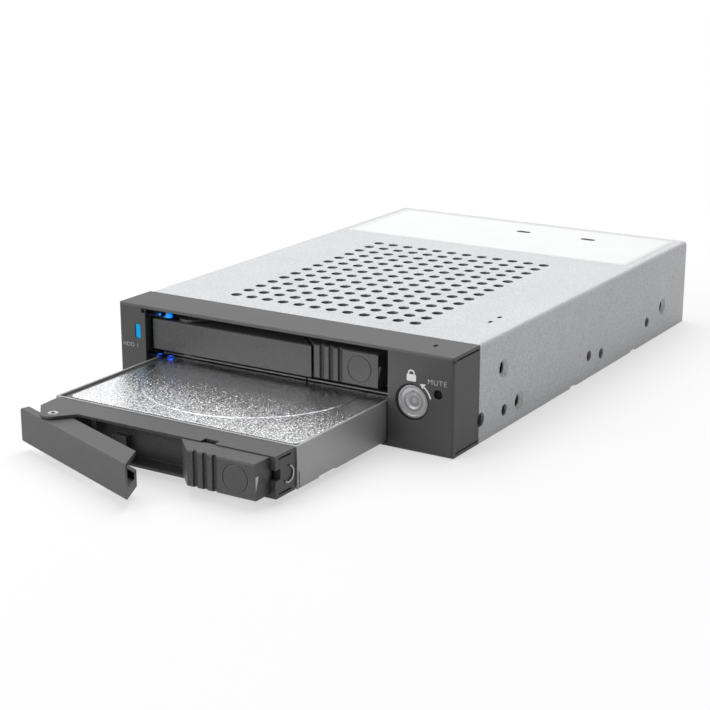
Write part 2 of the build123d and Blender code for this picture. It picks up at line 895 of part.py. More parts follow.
def make_screws():
    """Countersunk screws in the bottom that hold the bezel and the rear panel."""
    with BuildPart() as bezel_screws:
        sunk_screws(bezel_screw_places, bezel_screw_y)
    bezel_screws.part.label = "bezel_screws"
    export_step(bezel_screws.part, "parts/bezel_screws.step")
    with BuildPart() as rear_screws:
        sunk_screws(rear_screw_places, rear_screw_y)
    rear_screws.part.label = "rear_screws"
    export_step(rear_screws.part, "parts/rear_screws.step")


def make_lights():
    """Light pipes behind the bezel for each bay, their holder and board, and the bay lights."""
    depth = light_board_front - sheet - seam
    with BuildPart() as light_holder:
        block(holder_x, (sheet + seam, light_board_front), (holder_low, inner_top - seam))
        places = window_places
        windows(across(sheet + seam), places, (window_width, window_length), slot_cut, -depth)
    light_holder.part.label = "light_holder"
    export_step(light_holder.part, "parts/light_holder.step")

    with BuildPart() as light_board:
        board_y = (light_board_front, light_board_front + light_board_thick)
        block((holder_x[0], holder_x[1] - latch_fit), board_y, light_board_z)
    light_board.part.label = "light_board"
    export_step(light_board.part, "parts/light_board.step")

    for bay, (x, z) in zip(("upper", "lower"), window_places):
        with BuildPart() as light_pipe:
            reach_x = window_width / 2 - seam
            reach_z = window_length / 2 - seam
            pipe_y = (pipe_sink, light_board_front)
            block((x - reach_x, x + reach_x), pipe_y, (z - reach_z, z + reach_z))
            chamfer(light_pipe.edges().filter_by(Axis.Y), slot_cut)
        light_pipe.part.label = f"{bay}_light_pipe"
        export_step(light_pipe.part, f"parts/{bay}_light_pipe.step")

    for bay, z in (("upper", upper_light_z), ("lower", lower_light_z)):
        with BuildPart() as bay_light:
            bar_y = (light_y - light_radius, light_y + light_radius)
            block((holder_x[1], light_x[1]), bar_y, (z[0], z[0] + light_bar_thick))
            for x in light_x:
                post(x, light_y, light_radius, z, sides=can_sides)
            if bay == "upper":
                chamfer(bay_light.edges().group_by(Axis.Z)[-1], light_round)
        bay_light.part.label = f"{bay}_bay_light"
        export_step(bay_light.part, f"parts/{bay}_bay_light.step")


def make_mute():
    """Small switch on its own upright board, and the plunger that shows in the bezel's hole."""
    board = (switch_board_front, switch_board_front + light_board_thick)
    plunger_back = mute_switch_front + mute_grip
    with BuildPart() as switch_board:
        block((mute_x - switch_board_reach, mute_x + switch_board_reach), board, bracket_z)
    switch_board.part.label = "switch_board"
    export_step(switch_board.part, "parts/switch_board.step")

    with BuildPart() as mute_switch:
        reach_x, reach_z = mute_switch_size[0] / 2, mute_switch_size[1] / 2
        switch_y = (mute_switch_front, board[0])
        block((mute_x - reach_x, mute_x + reach_x), switch_y, (mute_z - reach_z, mute_z + reach_z))
        well = (mute_switch_front, plunger_back + mute_travel + 2 * seam)
        rod(mute_x, mute_z, mute_radius + seam, well, Mode.SUBTRACT, button_sides)
    mute_switch.part.label = "mute_switch"
    export_step(mute_switch.part, "parts/mute_switch.step")

    with BuildPart() as mute_button:
        rod(mute_x, mute_z, mute_radius, (mute_front, plunger_back), sides=button_sides)
    mute_button.part.label = "mute_button"
    export_step(mute_button.part, "parts/mute_button.step")


def make_lock():
    """Round lock: bracket, housing with its nut, turning core, cam with a crank pin, and the bar."""
    plate = (lock_bracket_front, lock_bracket_front + lock_bracket_thick)
    nut = (plate[1], plate[1] + nut_thick)
    cam = (lock_back + lock_cam_gap, lock_back + lock_cam_gap + lock_cam_thick)
    bar = (cam[1] + lock_bar_gap, cam[1] + lock_bar_gap + arm_thick)
    bore_radius = lock_shaft_radius + lock_bore_fit
    with BuildPart() as lock_bracket:
        plate_x = (right_wall + sheet + lock_bracket_gap, lock_x + lock_bracket_reach)
        block(plate_x, plate, bracket_z)
        rod(lock_x, lock_z, lock_body_radius, plate, Mode.SUBTRACT, can_sides)
    lock_bracket.part.label = "lock_bracket"
    export_step(lock_bracket.part, "parts/lock_bracket.step")

    with BuildPart() as lock_housing:
        rod(lock_x, lock_z, lock_hole_radius - seam, (lock_face, sheet + seam), sides=lock_sides)
        flange_y = (sheet + seam, plate[0])
        rod(lock_x, lock_z, lock_hole_radius + lock_flange, flange_y, sides=can_sides)
        rod(lock_x, lock_z, lock_body_radius, (plate[0], lock_back), sides=can_sides)
        head_y = (lock_face, lock_head_depth + seam)
        rod(lock_x, lock_z, lock_head_radius + seam, head_y, Mode.SUBTRACT)
        rod(lock_x, lock_z, bore_radius, (lock_face, lock_back), Mode.SUBTRACT)
    lock_housing.part.label = "lock_housing"
    export_step(lock_housing.part, "parts/lock_housing.step")

    with BuildPart() as lock_nut:
        with BuildSketch(across(nut[0])):
            with Locations((lock_x, lock_z)):
                RegularPolygon(nut_reach, 6, major_radius=False, rotation=30)
                disc(lock_body_radius, can_sides, Mode.SUBTRACT)
        extrude(amount=nut[0] - nut[1])
    lock_nut.part.label = "lock_nut"
    export_step(lock_nut.part, "parts/lock_nut.step")

    with BuildPart() as lock_core:
        rod(lock_x, lock_z, lock_head_radius, (lock_sink, lock_head_depth))
        rim_y = (0, lock_sink + lock_rim_depth)
        rod(lock_x, lock_z, lock_head_radius - lock_rim, rim_y, Mode.SUBTRACT, lock_sides)
        well_y = (0, lock_sink + lock_well[1])
        rod(lock_x, lock_z, lock_well[0], well_y, Mode.SUBTRACT, button_sides)
        key_x = (lock_x - keyway[0] / 2, lock_x + keyway[0] / 2)
        block(key_x, well_y, (lock_z, lock_z + keyway[1]), Mode.SUBTRACT)
        rod(lock_x, lock_z, lock_shaft_radius, (lock_head_depth, cam[0]))
        half = lock_square / 2
        block((lock_x - half, lock_x + half), (cam[0], cam[1]), (lock_z - half, lock_z + half))
    lock_core.part.label = "lock_core"
    export_step(lock_core.part, "parts/lock_core.step")

    pin_x = lock_x + lock_crank * sin(radians(lock_turned / 2))
    pin_z = lock_z + lock_crank * cos(radians(lock_turned / 2))
    with BuildPart() as lock_cam:
        rod(lock_x, lock_z, lock_cam_radius, cam, sides=can_sides)
        block((lock_x - half, lock_x + half), cam, (lock_z - half, lock_z + half), Mode.SUBTRACT)
        rod(pin_x, pin_z, lock_pin_radius, (cam[1], bar[1] + lock_pin_end), sides=screw_sides)
    lock_cam.part.label = "lock_cam"
    export_step(lock_cam.part, "parts/lock_cam.step")

    slot_reach = lock_pin_radius + lock_pin_fit
    places = [notch_middle, notch_middle + carrier_pitch]
    arm_x = (arm_left, arm_left + arm_thick)
    with BuildPart() as lock_bar:
        low = places[0] - tongue_height / 2
        high = places[1] + tongue_height / 2
        plate_z = (lock_z - bar_below_lock, lock_z + bar_above_lock)
        block((arm_x[0], pin_x + bar_beyond_pin), bar, plate_z)
        block((arm_x[0], arm_x[0] + bar_spine), bar, (low, high))
        slot = (pin_x - slot_reach, pin_x + slot_reach)
        block(slot, bar, (pin_z - slot_reach, lock_z + lock_crank + slot_reach), Mode.SUBTRACT)
        for z in places:
            reach = (z - tongue_height / 2, z + tongue_height / 2)
            block(arm_x, (tongue_front, bar[1]), reach)
            tongue_y = (tongue_front, tongue_front + tongue_thick)
            block((arm_x[0] - tongue_reach, arm_x[0]), tongue_y, reach)
    lock_bar.part.label = "lock_bar"
    export_step(lock_bar.part, "parts/lock_bar.step")


def make_tray():
    """Folded tray of a carrier: floor with a wide opening, two sides and a front flange."""
    floor_z = (carrier_low, carrier_low + tray_sheet)
    with BuildPart() as tray:
        block((carrier_left, carrier_right), (tray_front, tray_back), (carrier_low, carrier_top))
        inside = (carrier_left + tray_sheet, carrier_right - tray_sheet)
        block(inside, (tray_front + tray_sheet, tray_back), (floor_z[1], carrier_top), Mode.SUBTRACT)
        for row in (-1, 1):
            middle = tray_window_middle + row * tray_window_pitch_y / 2
            places = [(carrier_middle + column * tray_window_pitch_x, middle) for column in (-1, 0, 1)]
            windows(level(carrier_low), places, tray_window, tray_window_cut, tray_sheet)
        for x, y in drive_hole_places():
            post(x, y, drive_screw_head + seam, floor_z, Mode.SUBTRACT, screw_sides)
        for x in front_screw_places:
            flange_y = (tray_front, tray_front + tray_sheet)
            hole_radius = front_screw_radius + seam
            rod(x, body_middle, hole_radius, flange_y, Mode.SUBTRACT, screw_sides)
        for wall in ((carrier_left, inside[0]), (inside[1], carrier_right)):
            slit_y = (tray_front + tray_sheet, tray_front + tray_sheet + relief_slit)
            block(wall, slit_y, (carrier_low, tray_slit_top), Mode.SUBTRACT)
            block(wall, tray_nick_y, (carrier_low, carrier_low + tray_nick_height), Mode.SUBTRACT)
    save_pair(tray.part, "tray")

    with BuildPart() as front_screws:
        for x in front_screw_places:
            inside = tray_front + tray_sheet
            head_y = (inside, inside + front_screw_head)
            rod(x, body_middle, front_screw_head_radius, head_y, sides=screw_sides)
            shank_y = (recess_back + front_screw_skin, inside)
            rod(x, body_middle, front_screw_radius, shank_y, sides=screw_sides)
    save_pair(front_screws.part, "front_screws")


def drive_hole_places():
    """Screw places under the drive."""
    back = drive_back - drive_hole_inset
    x = drive_hole_span_x / 2
    return [
        (carrier_middle + side * x, y) for side in (-1, 1) for y in (back, back - drive_hole_span_y)
    ]


def ledge_outline(ear):
    """Outline of one of the front body's ledges from above, with its ear round the lever's pin."""
    touches = []
    for angle in (ear_left_angle, ear_right_angle):
        turn = radians(angle)
        touches.append((pivot_x + ear * cos(turn), pivot_y + ear * sin(turn)))
    with BuildLine() as outline:
        Polyline(
            touches[1],
            (pivot_x + ear_neck, body_front),
            (body_right, body_front),
            (body_right, body_back),
            (body_left, body_back),
            (body_left + ear_inset, ear_corner_y),
            touches[0],
        )
        ThreePointArc(touches[0], (pivot_x, pivot_y - ear), touches[1])
    make_face(outline.edges())


def make_carrier_front():
    """Moulded front body: two ledges with the ears, back wall, end block and the latch's guide."""
    ledges = (body_low + ledge, body_high - ledge)
    with BuildPart() as carrier_front:
        for z, ear in ((body_low, lower_ear_radius), (body_high - ledge, ear_radius)):
            with BuildSketch(level(z)):
                ledge_outline(ear)
            extrude(amount=ledge)
        block(rim_notch_x, (body_front, rim_notch_back), (body_high - ledge, body_high), Mode.SUBTRACT)
        block((body_left + back_wall_inset, body_right), (recess_back, body_back), ledges)
        block((body_right - end_block, body_right), (body_front, recess_back), ledges)
        guide_y = (body_front, body_front + guide_thick)
        block((guide_left, body_right - end_block), guide_y, ledges)
        slot_reach = stem_height / 2 + latch_fit
        slot_x = (stem_left - latch_fit, stem_right + latch_travel + latch_fit)
        block(slot_x, guide_y, (body_middle - slot_reach, body_middle + slot_reach), Mode.SUBTRACT)
        block(stop_x, (recess_back - stop_reach, recess_back), (ledges[0], stop_top))
        block(hook_x, (recess_back - stop_reach, recess_back), (hook_low, ledges[1]))
        for z in (body_low, body_high - ledge):
            post(pivot_x, pivot_y, ear_hole_radius, (z, z + ledge), Mode.SUBTRACT, button_sides)
        head_z = (body_high - pin_head_height, body_high)
        post(pivot_x, pivot_y, pin_head_radius + seam / 5, head_z, Mode.SUBTRACT, button_sides)
        for z in (ledges[0], ledges[1] - end_groove):
            groove_x = (body_right - end_groove_depth, body_right)
            block(groove_x, end_groove_y, (z, z + end_groove), Mode.SUBTRACT)
        notch_z = (notch_middle - notch_height / 2, notch_middle + notch_height / 2)
        notch_y = (body_front, tongue_front + tongue_thick + latch_fit)
        block((body_right - end_block, body_right), notch_y, notch_z, Mode.SUBTRACT)
        for y, z in wire_ends:
            hole_x = (body_right - end_block / 2, body_right)
            bore(y, z, wire_radius + seam, hole_x, sides=wire_sides)
        for x in front_screw_places:
            shank_y = (recess_back + front_screw_skin, body_back)
            rod(x, body_middle, front_screw_radius, shank_y, Mode.SUBTRACT, screw_sides)
    save_pair(carrier_front.part, "carrier_front")

    with BuildPart() as lever_pin:
        post(pivot_x, pivot_y, pin_radius, (body_low, body_high))
        post(pivot_x, pivot_y, pin_head_radius, head_z, sides=button_sides)
        dish_z = (body_high - pin_dish_depth, body_high)
        post(pivot_x, pivot_y, pin_dish_radius, dish_z, Mode.SUBTRACT, button_sides)
    save_pair(lever_pin.part, "lever_pin")


def make_side_spring():
    """Bowed wire on the right end of the front body that steadies the carrier in the opening."""
    x = body_right + wire_radius
    upper, lower = wire_ends
    with BuildPart() as side_spring:
        with BuildLine() as bow:
            ThreePointArc((x, *upper), (x, *bow_middle), (x, *lower))
        with BuildSketch(Plane(bow.line @ 0, z_dir=bow.line % 0)):
            disc(wire_radius, wire_sides)
        sweep(path=bow.line)
        for y, z in (upper, lower):
            leg_x = (body_right - end_block / 2 + seam, x + wire_radius)
            bore(y, z, wire_radius, leg_x, Mode.ADD, wire_sides)
    save_pair(side_spring.part, "side_spring")


def make_lever():
    """Cam lever: mitred free end with a finger hook, hollow ribs, and a thin plate past its heel."""
    mitre = lever_depth
    plate_back = lever_front + heel_plate
    with BuildPart() as lever:
        with BuildSketch(level(lever_low)):
            with BuildLine():
                Polyline(
                    (lever_left, lever_front),
                    (lever_right, lever_front),
                    (lever_right - mitre, lever_back),
                    (heel_x + heel_chamfer, lever_back),
                    (heel_x, lever_back - heel_chamfer),
                    (heel_x, plate_back),
                    (lever_left, plate_back),
                    close=True,
                )
            make_face()
        extrude(amount=lever_high - lever_low)
        chamfer(lever.edges().group_by(Axis.Y)[0].filter_by(Axis.X), edge_cut)
        pocket_x = (lever_right - mitre - hook_reach, lever_right)
        pocket_y = (lever_front + lever_wall, lever_back - hook_thick)
        block(pocket_x, pocket_y, (pocket_low, lever_high - lever_wall), Mode.SUBTRACT)
        gap_z = (hook_top, lever_high - lever_wall)
        block(pocket_x, (pocket_y[1], lever_back), gap_z, Mode.SUBTRACT)
        rib_y = (lever_front + rib_wall, lever_back)
        for x in rib_pocket_places:
            rib_z = (lever_low, lever_high - rib_wall)
            block((x, x + rib_pocket_length), rib_y, rib_z, Mode.SUBTRACT)
        post(pivot_x, pivot_y, pin_radius + pin_fit, (lever_low, lever_high), Mode.SUBTRACT)
    hinge = Axis((pivot_x, pivot_y, 0), (0, 0, 1))
    turns = {"lower": -lever_open, "upper": 0.0}
    for bay, (out, rise) in rests.items():
        copy = lever.part.rotate(hinge, turns[bay]).moved(Location((0, out, rise)))
        copy.label = f"{bay}_lever"
        export_step(copy, f"parts/{bay}_lever.step")


def make_latch():
    """Sliding catch with grip grooves, an engraved circle, and a foot behind the guide plate."""
    z = (latch_low, latch_low + latch_height)
    slant_front = lever_right + latch_gap + latch_slant_gap
    slant_back = slant_front - (latch_back - lever_front)
    with BuildPart() as latch:
        with BuildSketch(level(z[0])):
            with BuildLine():
                Polyline(
                    (slant_front, lever_front),
                    (latch_right, lever_front),
                    (latch_right, latch_back),
                    (slant_back, latch_back),
                    close=True,
                )
            make_face()
        extrude(amount=latch_height)
        chamfer(latch.edges().group_by(Axis.Y)[0].filter_by(Axis.X), edge_cut)
        for step in range(3):
            x = groove_first + step * groove_pitch
            with BuildSketch(level(z[0])):
                with BuildLine():
                    Polyline(
                        (x, lever_front),
                        (x + groove_width, lever_front),
                        (x + groove_floor + groove_steep, lever_front + groove_depth),
                        (x + groove_steep, lever_front + groove_depth),
                        close=True,
                    )
                make_face()
            extrude(amount=latch_height, mode=Mode.SUBTRACT)
        with BuildSketch(across(lever_front)):
            with Locations((latch_circle_x, latch_middle)):
                disc(latch_circle_radius + latch_circle_line / 2, latch_circle_sides)
                inside = latch_circle_radius - latch_circle_line / 2
                disc(inside, latch_circle_sides, Mode.SUBTRACT)
        extrude(amount=-latch_circle_depth, mode=Mode.SUBTRACT)
        stem_z = (body_middle - stem_height / 2, body_middle + stem_height / 2)
        foot_y = (body_front + guide_thick + latch_fit, body_front + guide_thick + latch_fit + foot_thick)
        block((stem_left, stem_right), (latch_back, foot_y[1]), stem_z)
        foot_z = (stem_z[0] - foot_rise, stem_z[1] + foot_rise)
        block((stem_left - foot_reach, stem_right + foot_reach), foot_y, foot_z)
    save_pair(latch.part, "latch", latch_slid)


def make_drive():
    """2.5 inch drive in the lower carrier: case, top cover with its pressed ring, board and plug."""
    out = rests["lower"][0]
    case_x = (carrier_middle - drive_width / 2, carrier_middle + drive_width / 2)
    case_top = drive_top - cover_plate
    low = carrier_low + connector_low
    recess_reach = connector_width / 2 + plug_gap
    recess_x = (connector_x - recess_reach, connector_x + recess_reach)
    recess_front = backplane_front - connector_reach - plug_room
    board_low = drive_low + drive_board_sink
    board_z = (board_low, board_low + drive_board_thick)
    board_y = (drive_front + drive_board_front, recess_front)
    with BuildPart() as drive_case:
        block(case_x, (drive_front, drive_back), (drive_low, case_top))
        chamfer(drive_case.edges().filter_by(Axis.Z), drive_corner)
        well_z = (low - plug_gap, low + connector_height + plug_gap)
        block(recess_x, (recess_front, drive_back), well_z, Mode.SUBTRACT)
        pocket = (case_x[0] + drive_rail, case_x[1] - drive_rail)
        block(pocket, board_y, (drive_low, board_z[1] + drive_board_cover), Mode.SUBTRACT)
        for x, y in drive_hole_places():
            hole_z = (drive_low, drive_low + drive_hole_depth)
            post(x, y, drive_screw_radius, hole_z, Mode.SUBTRACT, screw_sides)
        for side in (-1, 1):
            face = carrier_middle + side * drive_width / 2
            inward = sorted((face, face - side * drive_side_hole_depth))
            for y in (drive_back - drive_hole_inset, drive_back - drive_hole_inset - drive_hole_span_y):
                bore(y, drive_low + drive_hole_depth, drive_side_hole_radius, inward, sides=screw_sides)
    case = drive_case.part.moved(Location((0, out, 0)))
    case.label = "drive_case"
    export_step(case, "parts/drive_case.step")

    with BuildPart() as drive_cover:
        cover_x = (case_x[0] + cover_inset_left, case_x[1] - cover_inset_right)
        cover_y = (drive_front + cover_inset_front, drive_back - cover_inset_back)
        block(cover_x, cover_y, (case_top, drive_top))
        chamfer(drive_cover.edges().filter_by(Axis.Z), drive_corner)
        with BuildSketch(level(drive_top)):
            with Locations((ring_x, ring_y)):
                disc(ring_radius + ring_width / 2, ring_sides)
                disc(ring_radius - ring_width / 2, ring_sides, Mode.SUBTRACT)
        extrude(amount=-ring_depth, mode=Mode.SUBTRACT)
    cover = drive_cover.part.moved(Location((0, out, 0)))
    cover.label = "drive_cover"
    export_step(cover, "parts/drive_cover.step")

    with BuildPart() as drive_board:
        fit = drive_board_fit
        block((pocket[0] + fit, pocket[1] - fit), (board_y[0] + fit, board_y[1] - fit), board_z)
    board = drive_board.part.moved(Location((0, out, 0)))
    board.label = "drive_board"
    export_step(board, "parts/drive_board.step")

    with BuildPart() as drive_plug:
        middle = low + connector_height / 2
        base_x = (recess_x[0] + plug_fit, recess_x[1] - plug_fit)
        base_y = (recess_front, recess_front + plug_thick)
        block(base_x, base_y, (low, low + connector_height))
        for x, width in blade_places():
            blade_y = (base_y[1], drive_back - blade_short)
            blade_z = (middle - blade_height / 2, middle + blade_height / 2)
            block((x - width / 2, x + width / 2), blade_y, blade_z)
    plug = drive_plug.part.moved(Location((0, out, 0)))
    plug.label = "drive_plug"
    export_step(plug, "parts/drive_plug.step")

    with BuildPart() as drive_screws:
        for x, y in drive_hole_places():
            floor_top = carrier_low + tray_sheet
            post(x, y, drive_screw_head, (carrier_low + seam, floor_top), sides=screw_sides)
            shank_z = (floor_top, drive_low + drive_hole_depth - drive_screw_space)
            post(x, y, drive_screw_radius - seam, shank_z, sides=screw_sides)
    screws = drive_screws.part.moved(Location((0, out, 0)))
    screws.label = "drive_screws"
    export_step(screws, "parts/drive_screws.step")


make_outer_cover()
make_base_plate()
make_front_bezel()
make_rear_panel()
make_partitions()
make_shelf()
make_backplane()
make_main_board()
make_board_parts()
make_ports()
make_screws()
make_lights()
make_mute()
make_lock()
make_tray()
make_carrier_front()
make_side_spring()
make_lever()
make_latch()
make_drive()
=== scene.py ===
"""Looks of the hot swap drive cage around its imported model, and the photograph's camera.

The scene is in metres, +Z up, in the model's frame. Sizes that are written here are millimetres,
times MM, apart from the floor, the lights and the camera, which are in metres.
"""

import json
import math

import bmesh
import bpy
from mathutils import Matrix, Vector


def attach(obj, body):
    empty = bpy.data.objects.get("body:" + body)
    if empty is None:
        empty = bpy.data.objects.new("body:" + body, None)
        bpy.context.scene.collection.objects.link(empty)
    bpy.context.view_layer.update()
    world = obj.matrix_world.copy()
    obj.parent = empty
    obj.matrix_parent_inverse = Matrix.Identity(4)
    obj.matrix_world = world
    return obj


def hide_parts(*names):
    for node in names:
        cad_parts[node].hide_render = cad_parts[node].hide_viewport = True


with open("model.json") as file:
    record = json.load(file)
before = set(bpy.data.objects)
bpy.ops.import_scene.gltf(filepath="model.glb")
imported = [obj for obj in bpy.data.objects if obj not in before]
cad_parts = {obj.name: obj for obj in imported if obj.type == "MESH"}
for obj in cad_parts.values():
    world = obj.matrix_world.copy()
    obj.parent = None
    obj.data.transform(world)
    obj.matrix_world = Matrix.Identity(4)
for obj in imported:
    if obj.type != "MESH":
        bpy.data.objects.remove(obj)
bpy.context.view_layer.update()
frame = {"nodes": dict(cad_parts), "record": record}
MM = 0.001

# Cover
COVER_TOP = 25.4
TOP_SHEET = 1.5  # more than the sheet's thickness
CUT_WALL = (1.2, 0.04)  # a punched wall's lower and upper end, under the cover's top
PUNCHED_REACH = 48.5  # the top's holes lie nearer than this to the middle plane
DIMPLES = [(26.5, 16.2), (35.7, 5.1), (132.3, 8.6)]  # y, z of the screw dimples in both sides
DIMPLE_BORE = 1.66  # radius of their holes

# Vents, a grid of columns along x and rows along y
VENT_FIRST = (-28.4, 22.8)
VENT_PITCH = (5.0, 5.76)
VENT_COUNT = (12, 14)
VENT_MIDDLE = VENT_FIRST[0] + VENT_PITCH[0] * (VENT_COUNT[0] - 1) / 2
VENT_CUT = 1.2  # radius in the model
VENT_RADIUS = 1.55  # radius in the scene
VENT_SPREAD = 1.0156  # how much wider apart the photograph's columns are
VENT_SHIFT = 0.25  # and how far to the right

# Label on the cover
LABEL_X = (-47.4, 47.4)
LABEL_Y = (109.7, 147.5)
LABEL_THICK = 0.06
LABEL_SLOTS = [(1.8, 136.0), (23.8, 136.2)]

# Bezel
BEZEL_SIDE = 50.8
NOTCH = (14.4, 6.0)  # y, z of the round notches in both sides
LOCK = (39.5, 12.66)  # x, z
LOCK_RING_PITCH = 1.35
PRINT_THICK = 0.02

# Carriers at rest: name, how far it is drawn out, its rise over the lower bay, its latch's shift
CARRIERS = (("lower", 55.0, 0.0, 1.6), ("upper", 0.0, 11.0, 0.0))
LATCH_RIGHT = 28.7
LEVER_PIN = (-30.9, 5.55)  # x, y in a carrier that is home

# Fineness of round outlines
CORNER_STEPS = 6
SLOT_END_STEPS = 8
DISC_POINTS = 24

# Relief of every finish's grain
GRAIN_DEPTH = 0.02

# Photograph's camera, in metres and degrees
CAMERA_PLACE = (0.23163, -0.33557, 0.13789)
CAMERA_AZIMUTH = 31.829
CAMERA_ELEVATION = 16.352
CAMERA_LENS = 85.22
CAMERA_SENSOR = 36
CAMERA_NEAR = 0.01


# Shader nodes


def add(tree, kind, inputs=None, **settings):
    """New shader node. Inputs that are sockets are linked and the others are set."""
    made = tree.nodes.new("ShaderNode" + kind)
    for key, value in settings.items():
        setattr(made, key, value)
    for key, value in (inputs or {}).items():
        if isinstance(value, bpy.types.NodeSocket):
            tree.links.new(value, made.inputs[key])
        else:
            made.inputs[key].default_value = value
    return made


def start(name):
    """New material, with its tree, its main shader and its object coordinates."""
    material = bpy.data.materials.new(name)
    material.use_nodes = True
    tree = material.node_tree
    shader = tree.nodes["Principled BSDF"]
    place = tree.nodes.new("ShaderNodeTexCoord").outputs["Object"]
    return material, tree, shader, place


def math_of(tree, operation, a, b=0.0):
    """One step of arithmetic on values or sockets."""
    return add(tree, "Math", {0: a, 1: b}, operation=operation).outputs[0]


def vector_of(tree, operation, a, b=(0, 0, 0)):
    """One step of arithmetic on vectors or sockets."""
    return add(tree, "VectorMath", {0: a, 1: b}, operation=operation).outputs[0]


def scaled(tree, vector, factor):
    """A vector or colour times a factor."""
    return add(tree, "VectorMath", {0: vector, 3: factor}, operation="SCALE").outputs[0]


def distance(tree, a, b):
    """Distance between two points."""
    return add(tree, "VectorMath", {0: a, 1: b}, operation="DISTANCE").outputs["Value"]


def noise(tree, place, size, stretch=(1, 1, 1), detail=2.0, rough=0.5):
    """Noise with features of about size in millimetres, drawn out by stretch."""
    scale = [1 / s for s in stretch]
    mapped = add(tree, "Mapping", {"Vector": place, "Scale": scale}).outputs[0]
    made = add(
        tree,
        "TexNoise",
        {"Vector": mapped, "Scale": 1 / (size * MM), "Detail": detail, "Roughness": rough},
    )
    return made.outputs["Fac"]


def spread(tree, value, low, high, start_at=0.3, end_at=0.7):
    """A value from start_at to end_at, where noise mostly lies, spread from low to high."""
    made = add(
        tree,
        "MapRange",
        {"Value": value, "From Min": start_at, "From Max": end_at, "To Min": low, "To Max": high},
    )
    return made.outputs[0]


def blend(tree, factor, a, b):
    """Colour between a and b. The mix node has its colours on inputs 6 and 7 and on output 2."""
    made = tree.nodes.new("ShaderNodeMix")
    made.data_type = "RGBA"
    tree.links.new(factor, made.inputs[0])
    for socket, color in ((made.inputs[6], a), (made.inputs[7], b)):
        if isinstance(color, bpy.types.NodeSocket):
            tree.links.new(color, socket)
        else:
            socket.default_value = (*color, 1)
    return made.outputs[2]


def edge_mask(tree, radius):
    """Rounded normal near sharp edges, and a mask that is 1 on them."""
    rounded = add(tree, "Bevel", {"Radius": radius * MM}, samples=4).outputs[0]
    normal = tree.nodes.new("ShaderNodeNewGeometry").outputs["Normal"]
    turned = add(tree, "VectorMath", {0: rounded, 1: normal}, operation="DOT_PRODUCT")
    return rounded, spread(tree, turned.outputs["Value"], 1.0, 0.0, start_at=0.80, end_at=0.99)


def tilted(tree, place, normal, size, tilt):
    """Normal of blasted metal: small flat grains, in millimetres, each tilted at random."""
    grains = add(tree, "TexVoronoi", {"Vector": place, "Scale": 1 / (size * MM)}).outputs["Color"]
    turned = scaled(tree, vector_of(tree, "SUBTRACT", grains, (0.5, 0.5, 0.5)), tilt)
    return vector_of(tree, "NORMALIZE", vector_of(tree, "ADD", normal, turned))


def punched(tree, place):
    """Mask of painted shade: 1 on the walls of the holes and slots that are punched through the
    cover's sheet.
    """
    x, y, z = add(tree, "SeparateXYZ", {0: place}).outputs
    inside = math_of(tree, "LESS_THAN", math_of(tree, "ABSOLUTE", x), PUNCHED_REACH * MM)
    over = math_of(tree, "GREATER_THAN", z, (COVER_TOP - CUT_WALL[0]) * MM)
    under = math_of(tree, "LESS_THAN", z, (COVER_TOP - CUT_WALL[1]) * MM)
    wall = math_of(tree, "MULTIPLY", math_of(tree, "MULTIPLY", over, under), inside)
    flat = add(tree, "CombineXYZ", {"Y": y, "Z": z}).outputs[0]
    for dimple_y, dimple_z in DIMPLES:
        away = distance(tree, flat, (0, dimple_y * MM, dimple_z * MM))
        bore = math_of(tree, "LESS_THAN", away, DIMPLE_BORE * MM)
        wall = math_of(tree, "MAXIMUM", wall, bore)
    return wall


def ring_shade(tree, place, depth):
    """Rings round the lock's axis, darker and lighter by about depth."""
    level = vector_of(tree, "MULTIPLY", place, (1, 0, 1))
    away = distance(tree, level, (LOCK[0] * MM, 0, LOCK[1] * MM))
    turns = math_of(tree, "MULTIPLY", away, math.tau / (LOCK_RING_PITCH * MM))
    waves = math_of(tree, "SINE", turns)
    return spread(tree, waves, 1 - depth, 1 + depth / 2, start_at=-1.0, end_at=1.0)


